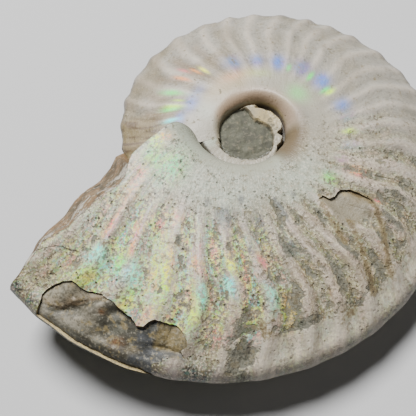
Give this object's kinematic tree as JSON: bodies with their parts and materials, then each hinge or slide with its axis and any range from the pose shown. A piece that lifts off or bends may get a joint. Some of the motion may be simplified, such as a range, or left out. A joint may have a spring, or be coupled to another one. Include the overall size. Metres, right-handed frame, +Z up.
{
  "type": "ammonite fossil",
  "caption": "Fossil ammonite lying on its flank, a ribbed nacreous coil with a stone-filled umbilicus, a broken shell mouth and windows where the outer shell has flaked off.",
  "frame": {"origin": "on the surface that the fossil lies on, under the centre of its bounding box", "axes": "+Z up from the surface; +X to the right as the picture shows the fossil, with the broken shell mouth on the -X side; +Y away from the viewer"},
  "size_m": [0.0854, 0.0802, 0.0278],
  "materials": {
    "nacre": "pearly fossil shell over stone, smooth and slightly worn, with rough grey-brown stone where the shell has flaked off"
  },
  "bodies": {
    "root": {"ammonite": "nacre"}
  },
  "joints": []
}
